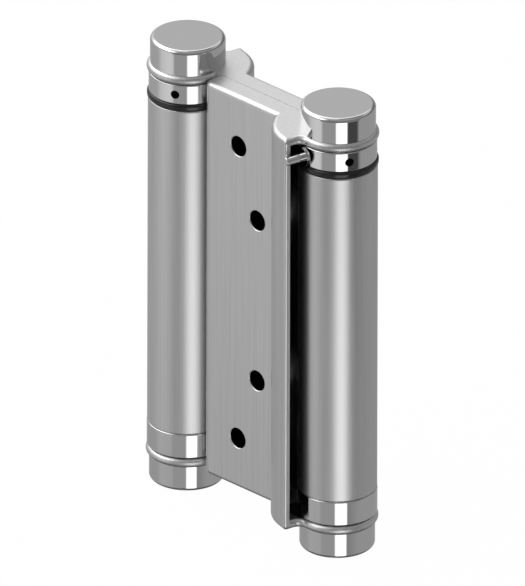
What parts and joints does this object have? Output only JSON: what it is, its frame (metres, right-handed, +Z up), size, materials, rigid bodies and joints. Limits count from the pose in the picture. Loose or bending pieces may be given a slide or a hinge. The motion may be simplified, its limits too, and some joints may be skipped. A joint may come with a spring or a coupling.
{
  "type": "double action spring hinge",
  "caption": "Stainless steel double action spring hinge for a swinging cafe door: two spring barrels on a centre plate, folded leaves and tension collars.",
  "frame": {"origin": "midway between the two barrel axes, on the plane under the bottom caps", "axes": "+X from the jamb barrel to the door barrel, +Y to the side of the jamb leaf's mounting face, +Z up along the barrels"},
  "size_m": [0.0902, 0.0392, 0.15],
  "materials": {
    "satin_steel": "satin stainless steel, brushed along the barrels",
    "polished_steel": "polished stainless steel",
    "plain_steel": "plain rolled or turned steel",
    "spring_steel": "oiled dark spring wire",
    "black_washer": "glossy black moulded washer",
    "lower_washer": "thin black low-friction washer"
  },
  "bodies": {
    "jamb_leaf": {"jamb_leaf": "satin_steel", "jamb_spindle": "plain_steel", "jamb_top_cap": "polished_steel", "jamb_bottom_cap": "polished_steel"},
    "centre": {"centre_plate": "plain_steel", "jamb_tube": "satin_steel", "jamb_anchor_ring": "polished_steel", "jamb_lower_washer": "lower_washer", "jamb_thrust_washer": "black_washer", "jamb_torsion_spring": "spring_steel", "door_tube": "satin_steel", "door_anchor_ring": "polished_steel", "door_lower_washer": "lower_washer", "door_thrust_washer": "black_washer", "door_torsion_spring": "spring_steel"},
    "door_leaf": {"door_leaf": "satin_steel", "door_spindle": "plain_steel", "door_top_cap": "polished_steel", "door_bottom_cap": "polished_steel"},
    "jamb_collar": {"jamb_tension_collar": "polished_steel", "jamb_tension_pin": "polished_steel"},
    "door_collar": {"door_tension_collar": "polished_steel", "door_tension_pin": "polished_steel"}
  },
  "joints": [
    {"name": "jamb_swing", "type": "hinge", "parent": "jamb_leaf", "child": "centre", "pos_m": [-0.0325, 0, 0.075], "axis": [0, 0, -1], "range_deg": [0, 170], "stiffness_Nm_per_rad": 1.8, "springref_deg": -34.38, "deforming": ["jamb_torsion_spring"]},
    {"name": "door_swing", "type": "hinge", "parent": "centre", "child": "door_leaf", "pos_m": [0.0325, 0, 0.075], "axis": [0, 0, 1], "range_deg": [0, 170], "stiffness_Nm_per_rad": 1.8, "springref_deg": -34.38, "deforming": ["door_torsion_spring"]},
    {"name": "jamb_collar_turn", "type": "hinge", "parent": "jamb_leaf", "child": "jamb_collar", "pos_m": [-0.0325, 0, 0.1354], "axis": [0, 0, 1], "range_deg": [0, 72], "stiffness_Nm_per_rad": 0.05, "springref_deg": -11.46},
    {"name": "door_collar_turn", "type": "hinge", "parent": "door_leaf", "child": "door_collar", "pos_m": [0.0325, 0, 0.1354], "axis": [0, 0, 1], "range_deg": [0, 72], "stiffness_Nm_per_rad": 0.05, "springref_deg": -11.46}
  ]
}
